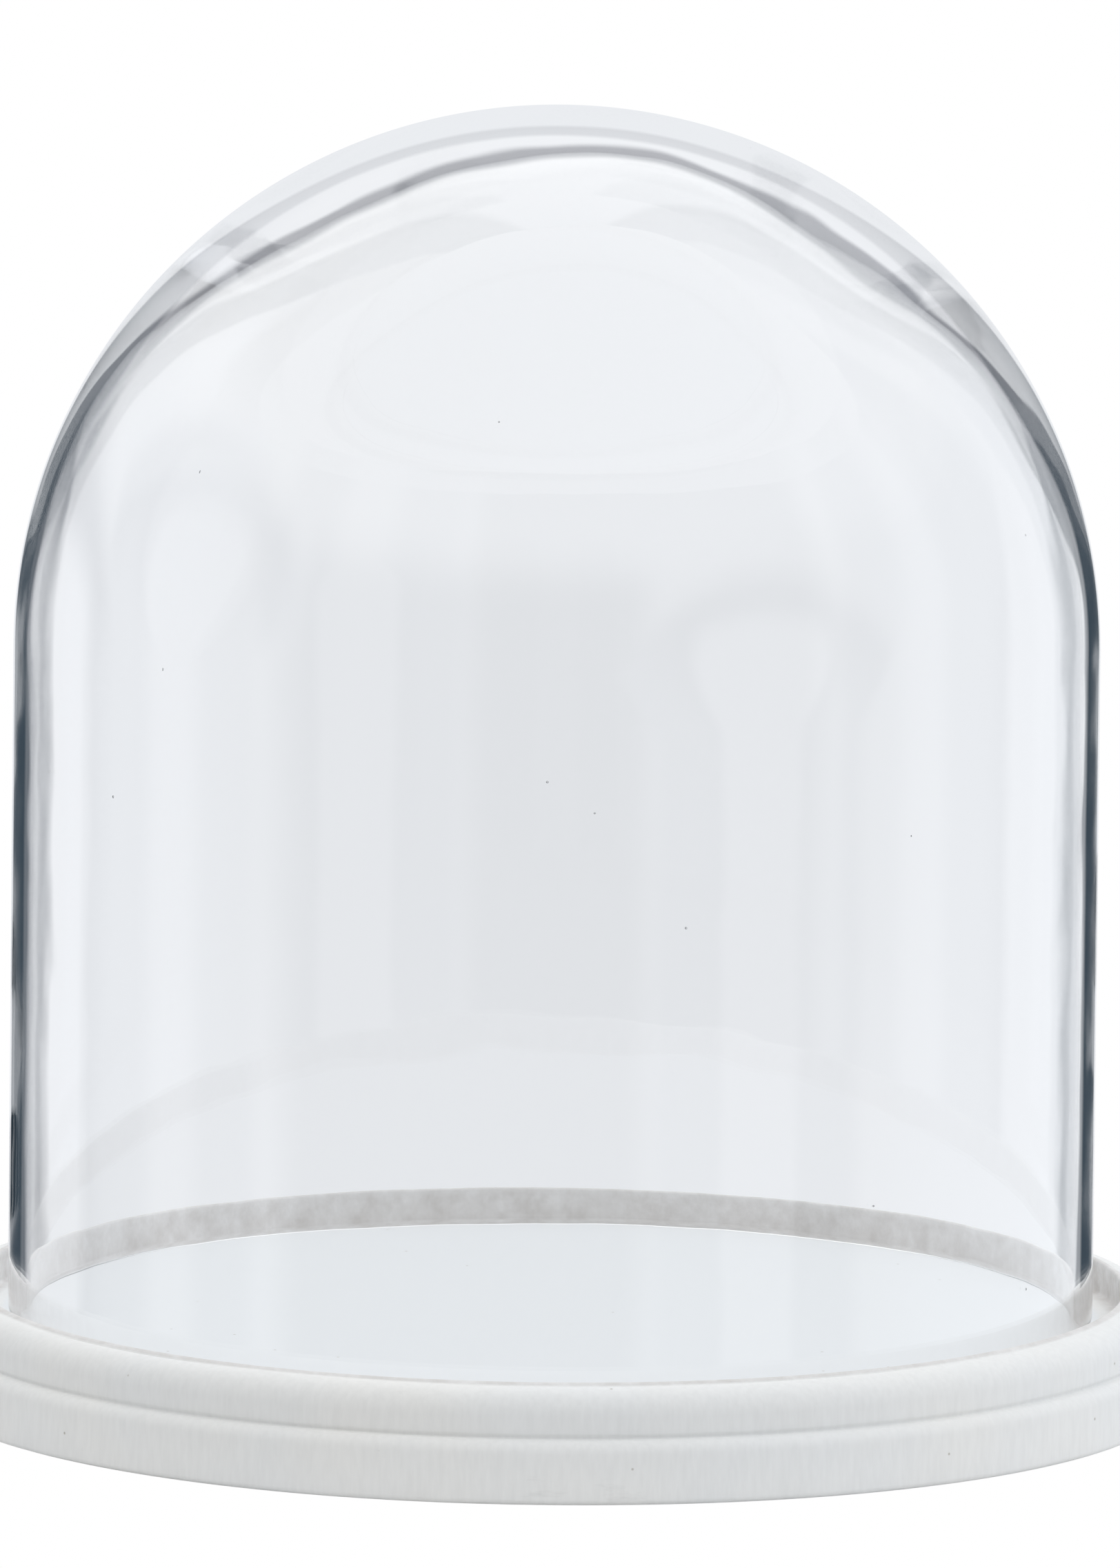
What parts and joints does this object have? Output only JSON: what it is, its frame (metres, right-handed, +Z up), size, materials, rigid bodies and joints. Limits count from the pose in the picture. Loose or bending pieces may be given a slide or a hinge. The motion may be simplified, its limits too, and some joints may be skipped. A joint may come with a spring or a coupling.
{
  "type": "glass cloche",
  "caption": "Round blown glass display dome with a hemispherical top, standing loose in the shallow recess of a turned, white-washed wooden base with a half-round moulding.",
  "frame": {"origin": "on the standing surface, under the centre of the base", "axes": "+Z up along the common axis of the glass and the base; the object is round, so +X and +Y are free, and the feet lie on the diagonals between them"},
  "size_m": [0.231, 0.231, 0.2407],
  "materials": {
    "whitewashed_wood": "matt white-wash over turned wood, with open pores showing",
    "clear_glass": "clear blown glass, polished",
    "foot_rubber": "matt pale grey moulded rubber"
  },
  "bodies": {
    "base": {"turned_base": "whitewashed_wood", "rubber_foot_1": "foot_rubber", "rubber_foot_2": "foot_rubber", "rubber_foot_3": "foot_rubber", "rubber_foot_4": "foot_rubber"},
    "dome": {"glass_dome": "clear_glass"}
  },
  "joints": [
    {"name": "dome_lift", "type": "slide", "parent": "base", "child": "dome", "axis": [0, 0, 1], "range_m": [0, 0.12]}
  ]
}
